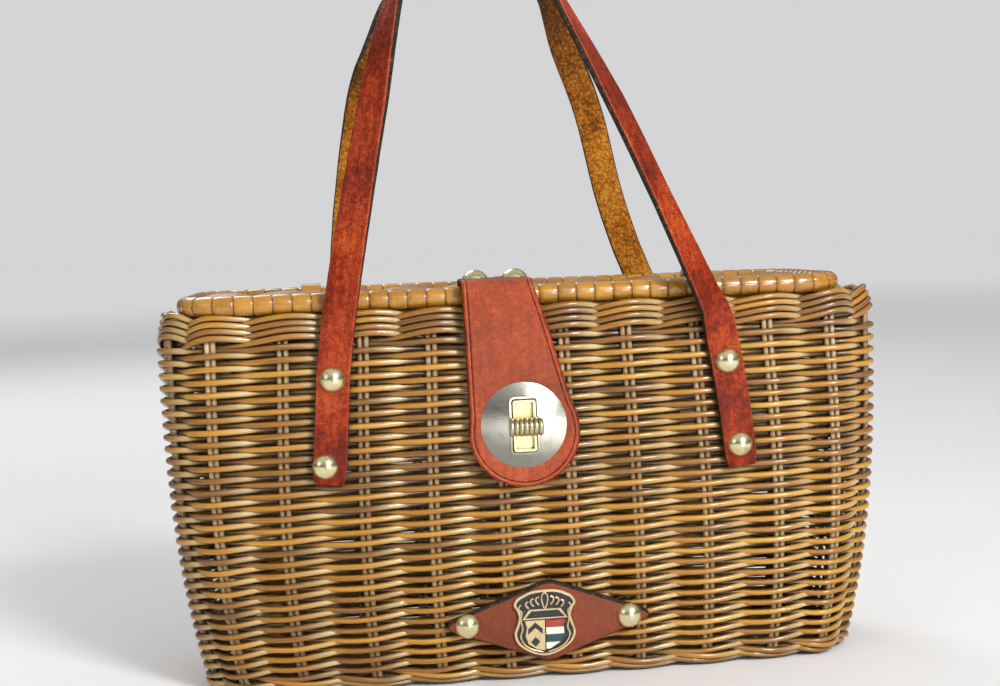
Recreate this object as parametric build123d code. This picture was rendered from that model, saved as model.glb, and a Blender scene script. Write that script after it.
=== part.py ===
"""Wicker box bag: woven body, hinged lid with a turn-lock tab, two riveted strap handles.

Frame: origin at the middle of the underside, +Z up, the front faces -Y. Millimetres.
"""
import math
import os

from build123d import *

# ---- basket body ----
body_width = 280.0        # over the outermost weavers, at the top
body_depth = 104.0
wall_height = 144.5       # top of the woven wall
wall = 6.5                # weaver, stake, weaver
corner_radius = 24.0      # upright corners, outside
face_bulge = 4.0          # front and back faces swell this much between the corners
end_bulge = 2.0           # the same on the two ends
taper_width = 11.6        # each end draws in this much at the foot
taper_depth = 9.3         # front and back draw in this much at the foot
taper_power = 2.85        # keeps the upper half upright and curves the lower half
foot_round = 5.0          # radius of the turn under the foot
base_thickness = 5.0
rim_rod = 6.0             # rod lashed inside the top of the wall
fit_gap = 0.3             # between woven or leather pieces that lie against each other
close_gap = 0.1           # between metal and what it is pressed on

# ---- lid ----
lid_inset = (13.0, 4.0)   # lid inside the body's width and depth, each side
lid_rod = 7.0             # wrapped rod all round the lid
lid_corner = 19.5         # plan corner of the lid, outside
panel_thickness = 5.6
loop_places = (-82.0, 0.0, 82.0)   # lashings that carry the lid, along its rear rod
loop_width = 8.0
loop_thickness = 1.3
loop_corner = 2.5

# ---- leather ----
strap_width = 12.2
strap_thickness = 2.6
tab_thickness = 2.6
tab_top_x = -12.3         # middle of the tab where it crosses the lid's edge
tab_top_width = 26.4
tab_top_reach = 24.0      # how far the tab lies on the lid, back from the fold
tab_waist = (16.6, 27.0)  # half width of the tab, and how far down it is measured
tab_shoulder = (19.2, 47.6)
tab_length = 76.2         # from the fold to the tip
patch_x = 2.7
patch_z = 24.5            # middle of the diamond, along the sloping face
patch_length = 84.8
patch_height = 33.0
patch_thickness = 2.6

# ---- rivets ----
rivet_head = 9.8
rivet_dome = 3.2
rivet_shank = 2.6
washer_diameter = 8.4
washer_thickness = 0.6
handle_rivet_places = ((-78.0, -56.0), (-73.8, -24.0), (73.8, -24.0), (78.0, -56.0))   # x, z from the wall's top
tab_rivet_spread = 15.0
tab_rivet_inset = 17.5    # from the fold back to the rivets
patch_rivet_spread = 62.0

# ---- turn lock ----
lock_x = -4.6
lock_drop = 53.0          # from the fold down to the middle of the lock
plate_diameter = 32.0
plate_dome = 2.2
plate_sheet = 0.8
slot_width = 9.4
slot_length = 20.0
slot_corner = 1.2
slot_lip = 0.5
collar_clearance = 0.45
collar_rise = 0.7         # collar stands this far out of the slot's lip
foot_plate = 0.6
foot_plate_size = (12.0, 27.0)
leg_width = 4.0           # the foot plate's legs, bent over inside
leg_thickness = 1.0
prong_width = 2.4
prong_thickness = 0.6
stem_diameter = 3.4
stem_gap = 0.1            # radial
knob_length = 12.4
knob_diameter = 6.8
knob_ribs = 7
rib_depth = 0.55

# ---- badge ----
badge_x = 0.9
badge_width = 24.0
badge_height = 27.0
badge_thickness = 1.8

# Handles: (x, how far out, z, twist in degrees) from the left foot over to the right. Out is from half the
# body's depth and z is from the wall's top. Where out is None the strap lies on the wall; it turns edge-on
# towards the top of its loop.
front_handle_line = (
    (-78.8, None, -63.0, 0), (-76.1, None, -40.5, 0), (-73.0, None, -18.5, 0), (-67.6, 1.9, 8.5, 12),
    (-60.6, 2.3, 40.5, 24), (-53.1, 2.5, 75.9, 32), (-45.4, 2.5, 110.5, 66), (-35.5, 2.5, 136.5, 90),
    (-17.0, 2.5, 148.5, 90), (1.0, 2.5, 135.0, 88), (14.6, 3.0, 110.0, 70), (33.2, 4.5, 73.8, 52),
    (50.0, 5.5, 36.9, 49), (65.3, 4.8, 2.9, 34), (69.4, 3.1, -6.0, 14), (72.2, None, -16.0, 0),
    (76.1, None, -40.5, 0), (78.8, None, -64.5, 0))
rear_handle_line = (
    (-78.8, None, -63.0, 0), (-76.1, None, -40.5, 0), (-73.0, None, -18.5, 0), (-68.6, 1.8, 8.5, 0),
    (-64.4, 2.2, 43.5, 0), (-57.0, 2.5, 85.5, 14), (-49.6, 2.5, 106.5, 36), (-38.5, 2.5, 131.5, 74),
    (-9.5, 2.5, 155.0, 90), (20.0, 2.5, 134.5, 74), (31.3, 2.5, 104.7, 30), (40.6, 2.5, 77.5, 10),
    (48.8, 2.2, 40.0, 4), (59.5, 1.8, 8.2, 0), (73.0, None, -18.5, 0), (76.1, None, -40.5, 0),
    (78.8, None, -64.5, 0))

# ---- worked out ----
lid_width = body_width - 2 * lid_inset[0]
lid_depth = body_depth - 2 * lid_inset[1]
lid_bottom = wall_height + fit_gap
lid_axis_z = lid_bottom + lid_rod / 2
lid_axis_y = lid_depth / 2 - lid_rod / 2
lid_top = lid_bottom + lid_rod
panel_bottom = lid_axis_z - panel_thickness / 2
tab_under = lid_top + fit_gap
fold_z = tab_under + tab_thickness / 2
lock_z = fold_z - lock_drop
handle_rivet_spots = [(x, wall_height + drop) for x, drop in handle_rivet_places]


def draw_in(z, amount):
    """How far the tapered wall has drawn in at height z."""
    return amount * max((wall_height - z) / wall_height, 0.0) ** taper_power


def turn_under(z):
    """Extra draw-in of the rounded foot."""
    if z >= foot_round:
        return 0.0
    return foot_round - math.sqrt(foot_round ** 2 - (foot_round - z) ** 2)


def half_sizes(z, inward=0.0):
    """Half width and half depth of the wall at height z, moved inward."""
    return (body_width / 2 - draw_in(z, taper_width) - inward,
            body_depth / 2 - draw_in(z, taper_depth) - inward)


def face_depth(x, z, inward=0.0):
    """Distance of the front or back face from the middle plane, at x and z."""
    half_width, half_depth = half_sizes(z, inward)
    return half_depth - face_bulge * (x / (half_width - end_bulge)) ** 2


def outline(z, inward=0.0):
    """Plan of the body at height z: four swelling sides with rounded corners."""
    half_width, half_depth = half_sizes(z, inward)
    corner_x = half_width - end_bulge
    corner_y = half_depth - face_bulge
    sides = [
        ThreePointArc((-corner_x, -corner_y), (0, -half_depth), (corner_x, -corner_y)),
        ThreePointArc((corner_x, -corner_y), (half_width, 0), (corner_x, corner_y)),
        ThreePointArc((corner_x, corner_y), (0, half_depth), (-corner_x, corner_y)),
        ThreePointArc((-corner_x, corner_y), (-half_width, 0), (-corner_x, -corner_y)),
    ]
    plan = make_face(sides)
    return Pos(0, 0, z) * fillet(plan.vertices(), corner_radius - inward)


def facing(side, x, depth, z):
    """A plane on the front (side -1) or the back (side 1), looking out, depth from the middle."""
    return Plane(origin=(x, side * depth, z), x_dir=(-side, 0, 0), z_dir=(0, side, 0))


def rivet(length):
    """Domed rivet: head above the plane z = 0, shank below it."""
    radius = ((rivet_head / 2) ** 2 + rivet_dome ** 2) / (2 * rivet_dome)
    half_turn = math.asin(rivet_head / 2 / radius) / 2
    middle = (radius * math.sin(half_turn), rivet_dome - radius + radius * math.cos(half_turn))
    profile = make_face([
        Line((0, -length), (rivet_shank / 2, -length)),
        Line((rivet_shank / 2, -length), (rivet_shank / 2, 0)),
        Line((rivet_shank / 2, 0), (rivet_head / 2, 0)),
        ThreePointArc((rivet_head / 2, 0), middle, (0, rivet_dome)),
        Line((0, rivet_dome), (0, -length)),
    ])
    return revolve(Plane.XZ * profile, axis=Axis.Z)


def rivet_hole(length):
    """Clearance for a rivet's shank, both ways from the plane z = 0."""
    return Cylinder(rivet_shank / 2 + close_gap, 2 * length)


def washer():
    """Washer below the plane z = 0."""
    ring = Circle(washer_diameter / 2) - Circle(rivet_shank / 2 + close_gap)
    return extrude(ring, amount=-washer_thickness)


# Levels in front of the wall at the lock, as distances from the middle plane.
foot_plate_back = face_depth(lock_x, lock_z + foot_plate_size[1] / 2) + close_gap
backing_face = face_depth(lock_x, lock_z - foot_plate_size[1] / 2, wall) - fit_gap
tab_back = foot_plate_back + foot_plate + fit_gap
tab_front = tab_back + tab_thickness
fold_depth = tab_back + tab_thickness / 2
plate_back = tab_front + close_gap
lip_front = plate_back + plate_dome + slot_lip
collar_front = lip_front + collar_rise
knob_depth = collar_front + fit_gap + knob_diameter / 2
tab_lean = math.degrees(math.atan2(lock_x - tab_top_x, fold_z - lock_z))
leg_spots = [side * (foot_plate_size[1] / 2 - 2) for side in (-1, 1)]
through = 2 * wall            # half length of a cut that clears the wall

# The patch lies on the sloping foot of the front face.
patch_slope = math.degrees(math.atan2(
    face_depth(patch_x, patch_z + patch_height / 2) - face_depth(patch_x, patch_z - patch_height / 2),
    patch_height))
patch_plane = Plane(
    origin=(patch_x, -(face_depth(patch_x, patch_z) + fit_gap), patch_z), x_dir=(1, 0, 0),
    z_dir=(0, -math.cos(math.radians(patch_slope)), -math.sin(math.radians(patch_slope))))
patch_rivet_spots = [Pos(side * patch_rivet_spread / 2, 0, 0) for side in (-1, 1)]
patch_stack = wall + 3 * fit_gap      # from the back of the patch to the washer


# ---- basket ----
def rim_depth(x):
    """Distance of the rim rod's centre line from the middle plane."""
    return face_depth(x, wall_height, wall + close_gap + rim_rod / 2)


def loop_front(x):
    """Inner face of the lashing, on the inside of both rods."""
    return min(lid_axis_y - lid_rod / 2, rim_depth(x) - rim_rod / 2) - fit_gap


loop_back = lid_axis_y + lid_rod / 2 + fit_gap
loop_low = wall_height - rim_rod - fit_gap
loop_high = lid_top + fit_gap


def loop_block(x, grow, width):
    """The space inside a lashing, grown outward, as a block across the lid's rear rod."""
    depth = loop_back - loop_front(x) + 2 * grow
    height = loop_high - loop_low + 2 * grow
    middle = Pos((loop_back + loop_front(x)) / 2, (loop_high + loop_low) / 2)
    plan = Plane.YZ * middle * RectangleRounded(depth, height, loop_corner + grow)
    return Pos(x - width / 2, 0, 0) * extrude(plan, amount=width)


def hinge_loops():
    return [loop_block(x, loop_thickness, loop_width) - loop_block(x, 0, loop_width) for x in loop_places]


def loop_space(x):
    """Room for a lashing, taken out of whatever it passes through."""
    width = loop_width + 2 * fit_gap
    return loop_block(x, loop_thickness + fit_gap, width) - loop_block(x, -fit_gap, width)


def wall_cuts():
    """Everything that passes through the woven wall."""
    cuts = []
    for x, z in handle_rivet_spots:
        for side in (-1, 1):
            cuts.append(facing(side, x, body_depth / 2, z) * rivet_hole(through))
    for spot in patch_rivet_spots:
        cuts.append(patch_plane * spot * rivet_hole(through))
    lock_plane = facing(-1, lock_x, body_depth / 2, lock_z)
    cuts.append(lock_plane * Cylinder(stem_diameter + close_gap, 2 * through))
    for shift in leg_spots:
        cuts.append(lock_plane * Pos(0, shift, 0) * Box(leg_width + 0.4, leg_thickness + 0.4, 2 * through))
    for x in loop_places:
        cuts.append(loop_space(x))
    return cuts


def woven_wall():
    shares = (0.10, 0.18, 0.27, 0.38, 0.50, 0.63, 0.78, 1.0)
    heights = [0.0, 0.3 * foot_round, 0.6 * foot_round, foot_round] + [wall_height * share for share in shares]
    outside = loft([outline(z, turn_under(z)) for z in heights], ruled=True)
    inside = loft([outline(z, wall) for z in heights], ruled=True)
    inside += extrude(outline(wall_height, wall), amount=1)
    shell = outside - inside
    for cut in wall_cuts():
        shell -= cut
    return shell


def woven_base():
    return extrude(outline(0, wall + fit_gap), amount=base_thickness)


def body_rim():
    """Rod all round the inside of the wall's top, which the lid comes down on."""
    path = outline(wall_height, wall + close_gap + rim_rod / 2).wire()
    ring = sweep((path ^ 0) * Circle(rim_rod / 2), path=path)
    ring = Pos(0, 0, -rim_rod / 2) * ring
    for x in loop_places:
        ring -= loop_space(x)
    return ring


# ---- lid ----
tab_rivet_spots = [(tab_top_x + 0.8 + side * tab_rivet_spread / 2, tab_rivet_inset - fold_depth)
                   for side in (-1, 1)]


def lid_border():
    plan = RectangleRounded(lid_width - lid_rod, lid_depth - lid_rod, lid_corner - lid_rod / 2)
    path = (Pos(0, 0, lid_axis_z) * plan).wire()
    return sweep((path ^ 0) * Circle(lid_rod / 2), path=path)


def lid_panel():
    inset = lid_rod + close_gap
    plan = RectangleRounded(lid_width - 2 * inset, lid_depth - 2 * inset, lid_corner - inset)
    panel = Pos(0, 0, panel_bottom) * extrude(plan, amount=panel_thickness)
    for x in loop_places:
        # the lid swings about its rear rod, so the notch is a radius deep
        reach = math.hypot(lid_axis_y - loop_front(x) + loop_thickness, loop_high + loop_thickness - lid_axis_z)
        notch = reach + 2 * fit_gap
        panel -= Pos(x, lid_axis_y - notch / 2, lid_axis_z) * Box(
            loop_width + 4 * fit_gap, notch, 2 * panel_thickness)
    for x, y in tab_rivet_spots:
        panel -= Pos(x, y, lid_axis_z) * rivet_hole(panel_thickness)
    return panel


# ---- leather ----
def strap_stations(line, side, steps=3):
    """Centre, direction and twist along a strap, on a smooth curve through its points."""
    places = []
    for x, out, rise, twist in line:
        z = wall_height + rise
        depth = face_depth(x, z) + fit_gap + strap_thickness / 2 if out is None else body_depth / 2 + out
        places.append(Vector(x, side * depth, z))
    twists = [point[3] for point in line]
    last = len(places) - 1
    slopes = [(places[min(i + 1, last)] - places[max(i - 1, 0)]) * (0.5 if 0 < i < last else 1.0)
              for i in range(last + 1)]
    stations = []
    for i in range(last):
        for step in range(steps + (i == last - 1)):
            t = step / steps
            a, b, m, n = places[i], places[i + 1], slopes[i], slopes[i + 1]
            centre = (a * (2 * t ** 3 - 3 * t ** 2 + 1) + m * (t ** 3 - 2 * t ** 2 + t)
                      + b * (3 * t ** 2 - 2 * t ** 3) + n * (t ** 3 - t ** 2))
            along = (a * (6 * t ** 2 - 6 * t) + m * (3 * t ** 2 - 4 * t + 1)
                     + b * (6 * t - 6 * t ** 2) + n * (3 * t ** 2 - 2 * t))
            stations.append((centre, along.normalized(), twists[i] + (twists[i + 1] - twists[i]) * t))
    return stations


def strap(line, side):
    """A flat strap whose smooth side turns from the face outward over the top of its loop."""
    sections = []
    for centre, along, twist in strap_stations(line, side):
        turn = math.radians(twist)
        smooth = Vector(0, side, 0) * math.cos(turn) + Vector(-along.Z, 0, along.X) * math.sin(turn)
        section = Plane(origin=centre, x_dir=along.cross(smooth), z_dir=along)
        sections.append(section * Rectangle(strap_width, strap_thickness))
    band = loft(sections, ruled=True)
    for x, z in handle_rivet_spots:
        band -= facing(side, x, body_depth / 2, z) * rivet_hole(through)
    return band


def handle_rivets(side):
    """Four rivets from the strap through the wall to the washers inside."""
    rivets = []
    for x, z in handle_rivet_spots:
        depth = face_depth(x, z) + fit_gap + strap_thickness + 2 * close_gap
        length = depth - face_depth(x, z, wall) + fit_gap + washer_thickness
        rivets.append(facing(side, x, depth, z) * rivet(length))
    return rivets


def handle_washers(side):
    return [facing(side, x, face_depth(x, z, wall) - fit_gap, z) * washer() for x, z in handle_rivet_spots]


def tab_top():
    """The end of the tab that is riveted down on the lid, up to the fold."""
    strip = Pos(tab_top_x, -fold_depth + tab_top_reach / 2) * Rectangle(tab_top_width, tab_top_reach)
    strip = fillet(strip.vertices().sort_by(Axis.Y)[-2:], 4.0)
    leather = Pos(0, 0, tab_under) * extrude(strip, amount=tab_thickness)
    nose = Pos(tab_top_x, -fold_depth, fold_z) * Rot(0, 90, 0) * Cylinder(tab_thickness / 2, tab_top_width)
    leather += nose
    for x, y in tab_rivet_spots:
        leather -= Pos(x, y, fold_z) * rivet_hole(tab_thickness)
    return leather


def closure_tab():
    """The hanging part of the tab, from the fold down, with the lock's slot."""
    lean = math.radians(tab_lean)
    hang = Plane(origin=(tab_top_x, -tab_back, fold_z), x_dir=(math.cos(lean), 0, math.sin(lean)),
                 z_dir=(0, -1, 0))
    waist_x, waist_y = tab_waist
    shoulder_x, shoulder_y = tab_shoulder
    top_x = tab_top_width / 2
    rise = 2 * tab_thickness      # trimmed off level below the fold
    shape = make_face([
        Line((-top_x, rise), (top_x, rise)),
        Line((top_x, rise), (top_x, 0)),
        ThreePointArc((top_x, 0), (waist_x, -waist_y), (shoulder_x, -shoulder_y)),
        ThreePointArc((shoulder_x, -shoulder_y), (0, -tab_length), (-shoulder_x, -shoulder_y)),
        ThreePointArc((-shoulder_x, -shoulder_y), (-waist_x, -waist_y), (-top_x, 0)),
        Line((-top_x, 0), (-top_x, rise)),
    ])
    leather = hang * extrude(shape, amount=tab_thickness)
    trim = tab_under - fit_gap
    leather -= Pos(tab_top_x, -fold_depth, trim + rise) * Box(2 * tab_top_width, 4 * tab_thickness, 2 * rise)
    lock_plane = facing(-1, lock_x, tab_back, lock_z)
    slot = Rot(0, 0, 90) * RectangleRounded(slot_length + close_gap, slot_width + close_gap, slot_corner)
    leather -= lock_plane * extrude(slot, amount=tab_thickness, both=True)
    for spot in prong_spots:
        leather -= lock_plane * spot * Box(
            prong_width + 2 * close_gap, prong_thickness + 2 * close_gap, 4 * tab_thickness)
    return leather


def tab_rivets():
    length = close_gap + lid_top + fit_gap + tab_thickness - panel_bottom + close_gap + washer_thickness
    return [Pos(x, y, tab_under + tab_thickness + close_gap) * rivet(length) for x, y in tab_rivet_spots]


def tab_washers():
    return [Pos(x, y, panel_bottom - close_gap) * washer() for x, y in tab_rivet_spots]


# ---- turn lock ----
prong_spots = [Rot(0, 0, angle) * Pos(0, plate_diameter / 2 - 2.2, 0) for angle in (45, 135, 225, 315)]


def dome_arc(radius, rise):
    """Profile of a shallow dome: an arc from its edge up to its middle."""
    ball = (radius ** 2 + rise ** 2) / (2 * rise)
    half_turn = math.asin(radius / ball) / 2
    middle = (ball * math.sin(half_turn), rise - ball + ball * math.cos(half_turn))
    return ThreePointArc((radius, 0), middle, (0, rise))


def lock_plate():
    """Domed disc on the tab, with a raised lip round its slot and prongs through the leather."""
    outer = plate_diameter / 2
    profile = make_face([
        Line((outer, 0), (outer - plate_sheet, 0)),
        dome_arc(outer - plate_sheet, plate_dome - plate_sheet),
        Line((0, plate_dome - plate_sheet), (0, plate_dome)),
        dome_arc(outer, plate_dome),
    ])
    plate = revolve(Plane.XZ * profile, axis=Axis.Z)
    slot = Rot(0, 0, 90) * RectangleRounded(slot_length, slot_width, slot_corner)
    lip = Rot(0, 0, 90) * RectangleRounded(slot_length + 2 * plate_sheet, slot_width + 2 * plate_sheet, slot_corner + plate_sheet)
    lip_foot = plate_dome - plate_sheet - 0.9
    plate += Pos(0, 0, lip_foot) * extrude(lip, amount=plate_dome + slot_lip - lip_foot)
    plate -= Pos(0, 0, -1) * extrude(slot, amount=plate_dome + slot_lip + 2)
    for spot in prong_spots:
        prong_top = 0.4
        length = prong_top + close_gap + tab_thickness
        plate += spot * Pos(0, 0, prong_top - length / 2) * Box(prong_width, prong_thickness, length)
    return facing(-1, lock_x, plate_back, lock_z) * plate


def lock_base():
    """Foot plate on the wall, with the oblong collar that comes through the tab's slot."""
    lock_plane = facing(-1, lock_x, foot_plate_back, lock_z)
    width, height = foot_plate_size
    base = extrude(RectangleRounded(width, height, 3), amount=foot_plate)
    collar = RectangleRounded(
        slot_length - 2 * collar_clearance, slot_width - 2 * collar_clearance, slot_corner - collar_clearance / 2)
    recess = Rectangle(slot_length - 2 * collar_clearance - 1.8, slot_width - 2 * collar_clearance - 1.8)
    rise = collar_front - foot_plate_back
    base += Rot(0, 0, 90) * extrude(collar, amount=rise)
    base -= Pos(0, 0, rise - 2.5) * Rot(0, 0, 90) * extrude(recess, amount=3)
    base -= Cylinder(stem_diameter / 2 + stem_gap, 4 * rise)
    leg = foot_plate_back - backing_face + washer_thickness
    for shift in leg_spots:
        base += Pos(0, shift, -leg / 2) * Box(leg_width, leg_thickness, leg)
    return lock_plane * base


def lock_backing():
    """Plate inside the wall that the foot plate's legs are bent over."""
    lock_plane = facing(-1, lock_x, backing_face, lock_z)
    width, height = foot_plate_size
    plate = extrude(RectangleRounded(width, height, 3), amount=-washer_thickness)
    plate -= Cylinder(stem_diameter, 4)
    for shift in leg_spots:
        plate -= Pos(0, shift, 0) * Box(leg_width + 2 * close_gap, leg_thickness + 2 * close_gap, 4)
    return lock_plane * plate


def turn_knob():
    """Ribbed bar on a stem, kept by a collar behind the foot plate."""
    pitch = knob_length / knob_ribs
    root = knob_diameter / 2 - rib_depth
    edges = [Line((-knob_length / 2, 0), (-knob_length / 2, root))]
    for index in range(knob_ribs):
        x = -knob_length / 2 + index * pitch
        edges.append(ThreePointArc((x, root), (x + pitch / 2, knob_diameter / 2), (x + pitch, root)))
    edges.append(Line((knob_length / 2, root), (knob_length / 2, 0)))
    edges.append(Line((knob_length / 2, 0), (-knob_length / 2, 0)))
    bar = revolve(make_face(edges), axis=Axis.X)
    knob = Pos(lock_x, -knob_depth, lock_z) * bar
    keeper_back = foot_plate_back - stem_gap - 1.0
    lock_plane = facing(-1, lock_x, keeper_back, lock_z)
    knob += lock_plane * extrude(Circle(stem_diameter / 2), amount=knob_depth - keeper_back)
    knob += lock_plane * extrude(Circle(stem_diameter - 0.6), amount=0.9)
    return knob


# ---- patch and badge ----
def leather_patch():
    half_length, half_height = patch_length / 2, patch_height / 2
    diamond = Polygon((-half_length, 0), (0, -half_height), (half_length, 0), (0, half_height), align=None)
    corners = diamond.vertices().sort_by(Axis.X)
    diamond = fillet(corners[1:3], 9.0)
    corners = diamond.vertices().sort_by(Axis.X)
    diamond = fillet([corners[0], corners[-1]], 1.2)
    patch = extrude(diamond, amount=patch_thickness)
    for spot in patch_rivet_spots:
        patch -= spot * rivet_hole(patch_thickness)
    for spot in badge_prong_spots:
        patch -= spot * Box(prong_thickness + 2 * close_gap, prong_width + 2 * close_gap, 4 * patch_thickness)
    return patch_plane * patch


def patch_rivets():
    length = close_gap + patch_thickness + patch_stack + washer_thickness
    lift = Pos(0, 0, patch_thickness + close_gap)
    return [patch_plane * spot * lift * rivet(length) for spot in patch_rivet_spots]


def patch_washers():
    return [patch_plane * spot * Pos(0, 0, -patch_stack) * washer() for spot in patch_rivet_spots]


badge_shift = badge_x - patch_x
badge_prong_spots = [Pos(badge_shift + side * badge_width / 4, 0, 0) for side in (-1, 1)]


def badge():
    """Plain shield-shaped stamping, held by two prongs through the leather."""
    half_width, half_height = badge_width / 2, badge_height / 2
    ear = (0.72 * half_width, 0.86 * half_height)
    shoulder = (half_width, 0.58 * half_height)
    waist = (0.84 * half_width, 0.2 * half_height)
    hip = (half_width, -0.3 * half_height)
    edges = []
    for side in (-1, 1):
        def at(point):
            return (side * point[0], point[1])
        edges += [
            ThreePointArc((0, half_height), (side * 0.42 * half_width, 0.97 * half_height), at(ear)),
            ThreePointArc(at(ear), (side * 0.9 * half_width, 0.76 * half_height), at(shoulder)),
            ThreePointArc(at(shoulder), at(waist), at(hip)),
            ThreePointArc(at(hip), (side * 0.7 * half_width, -0.76 * half_height), (0, -half_height)),
        ]
    shield = Pos(badge_shift, 0, patch_thickness + close_gap) * extrude(make_face(edges), amount=badge_thickness)
    for spot in badge_prong_spots:
        length = close_gap + patch_thickness + 0.3
        shield += spot * Pos(0, 0, patch_thickness + close_gap + 0.3 - length / 2) * Box(
            prong_thickness, prong_width, length)
    return patch_plane * shield


# ---- files ----
nodes = {
    "woven_wall": woven_wall(),
    "woven_base": woven_base(),
    "body_rim": body_rim(),
    "hinge_loops": hinge_loops(),
    "lid_border": lid_border(),
    "lid_panel": lid_panel(),
    "front_handle": strap(front_handle_line, -1),
    "rear_handle": strap(rear_handle_line, 1),
    "front_handle_rivets": handle_rivets(-1),
    "rear_handle_rivets": handle_rivets(1),
    "front_handle_washers": handle_washers(-1),
    "rear_handle_washers": handle_washers(1),
    "tab_top": tab_top(),
    "tab_rivets": tab_rivets(),
    "tab_washers": tab_washers(),
    "closure_tab": closure_tab(),
    "lock_plate": lock_plate(),
    "lock_base": lock_base(),
    "lock_backing": lock_backing(),
    "turn_knob": turn_knob(),
    "leather_patch": leather_patch(),
    "patch_rivets": patch_rivets(),
    "patch_washers": patch_washers(),
    "badge": badge(),
}

os.makedirs("parts", exist_ok=True)
for name, solid in nodes.items():
    if isinstance(solid, list):
        solid = Compound(children=solid)
    export_step(solid, os.path.join("parts", name + ".step"))
    print(name, round(solid.volume), "mm3")
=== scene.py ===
import math
import random

import bmesh
import bpy
from mathutils import Matrix, Vector, noise


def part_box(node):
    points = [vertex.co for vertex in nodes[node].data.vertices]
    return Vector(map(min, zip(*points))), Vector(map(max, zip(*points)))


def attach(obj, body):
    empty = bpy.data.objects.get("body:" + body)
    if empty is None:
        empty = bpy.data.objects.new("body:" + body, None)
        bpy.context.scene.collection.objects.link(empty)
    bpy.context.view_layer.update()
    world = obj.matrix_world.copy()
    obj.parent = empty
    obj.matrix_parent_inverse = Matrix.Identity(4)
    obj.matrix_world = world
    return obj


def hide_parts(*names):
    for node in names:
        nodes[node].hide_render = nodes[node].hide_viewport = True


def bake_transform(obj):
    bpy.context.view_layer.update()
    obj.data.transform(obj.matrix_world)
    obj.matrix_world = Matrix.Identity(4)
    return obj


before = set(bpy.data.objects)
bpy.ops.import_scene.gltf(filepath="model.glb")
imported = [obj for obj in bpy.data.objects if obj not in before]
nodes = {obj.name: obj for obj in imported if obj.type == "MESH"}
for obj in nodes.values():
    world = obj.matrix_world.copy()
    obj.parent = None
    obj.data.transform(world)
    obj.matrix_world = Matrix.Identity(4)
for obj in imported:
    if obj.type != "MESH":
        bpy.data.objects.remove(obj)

random.seed(7)
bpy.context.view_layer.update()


class Wire:  # one value in a material, so that sums on it read as sums
    def __init__(self, finish, socket):
        self.finish, self.socket = finish, socket

    def maths(self, operation, *values):
        return self.finish.node("ShaderNodeMath", {"operation": operation}, list(values))

    def __add__(self, other):
        return self.maths("ADD", self, other)

    __radd__ = __add__

    def __sub__(self, other):
        return self.maths("SUBTRACT", self, other)

    def __rsub__(self, other):
        return self.maths("SUBTRACT", other, self)

    def __mul__(self, other):
        return self.maths("MULTIPLY", self, other)

    __rmul__ = __mul__

    def limited(self):
        return self.finish.node("ShaderNodeClamp", {}, [self, 0.0, 1.0])

    def between(self, low, high):  # 0 below low, 1 above high
        return self.finish.node("ShaderNodeMapRange", {"interpolation_type": "SMOOTHSTEP"},
                                [self, low, high, 0.0, 1.0])


class Finish:  # a material and the nodes behind it
    def __init__(self, name, **fixed):
        self.material = bpy.data.materials.new(name)
        self.material.use_nodes = True
        self.tree = self.material.node_tree
        self.shader = next(n for n in self.tree.nodes if n.type == "BSDF_PRINCIPLED")
        for socket, value in fixed.items():
            self.shader.inputs[socket.replace("_", " ")].default_value = value

    def node(self, kind, settings=None, inputs=(), output=0):
        made = self.tree.nodes.new(kind)
        for key, value in (settings or {}).items():
            if key == "stops":
                stops = made.color_ramp.elements
                while len(stops) < len(value):
                    stops.new(0.5)
                for stop, (place, colour) in zip(stops, value):
                    stop.position, stop.color = place, (*colour, 1)
            else:
                setattr(made, key, value)
        pairs = inputs.items() if isinstance(inputs, dict) else enumerate(inputs)
        for key, value in pairs:
            self.feed(made.inputs[key], value)
        return Wire(self, made.outputs[output])

    def feed(self, socket, value):
        if isinstance(value, Wire):
            self.tree.links.new(value.socket, socket)
        elif value is not None:
            socket.default_value = value

    def wear(self, **links):
        for socket, value in links.items():
            self.feed(self.shader.inputs[socket.replace("_", " ")], value)
        return self.material

    def place(self):
        return self.node("ShaderNodeTexCoord", output="Object")

    def attribute(self, name):
        return self.node("ShaderNodeAttribute", {"attribute_name": name}, output="Fac")

    def vector(self, x, y, z):
        return self.node("ShaderNodeCombineXYZ", {}, [x, y, z])

    def clouds(self, where, scale, detail=3.0, roughness=0.5):
        return self.node("ShaderNodeTexNoise", {},
                         {"Vector": where, "Scale": scale, "Detail": detail, "Roughness": roughness})

    def cells(self, where, scale, feature="F1"):
        return self.node("ShaderNodeTexVoronoi", {"feature": feature}, {"Vector": where, "Scale": scale})

    def colours(self, value, *stops):
        return self.node("ShaderNodeValToRGB", {"stops": stops}, [value])

    def mix(self, share, first, second):
        return self.node("ShaderNodeMix", {"data_type": "RGBA"}, {0: share, 6: first, 7: second}, 2)

    def stretched(self, where, x, y, z):
        return self.node("ShaderNodeMapping", {}, {"Vector": where, "Scale": (x, y, z)})

    def creaseShade(self, reach):  # painted shade: 1 in the creases where two things meet, where it darkens them as if in shadow
        openness = self.node("ShaderNodeAmbientOcclusion", {"samples": 6}, {"Distance": reach}, 1)
        return 1 - openness.between(0.25, 0.85)

    def relief(self, height, strength, depth):
        return self.node("ShaderNodeBump", {}, {"Strength": strength, "Distance": depth, "Height": height})


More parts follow.
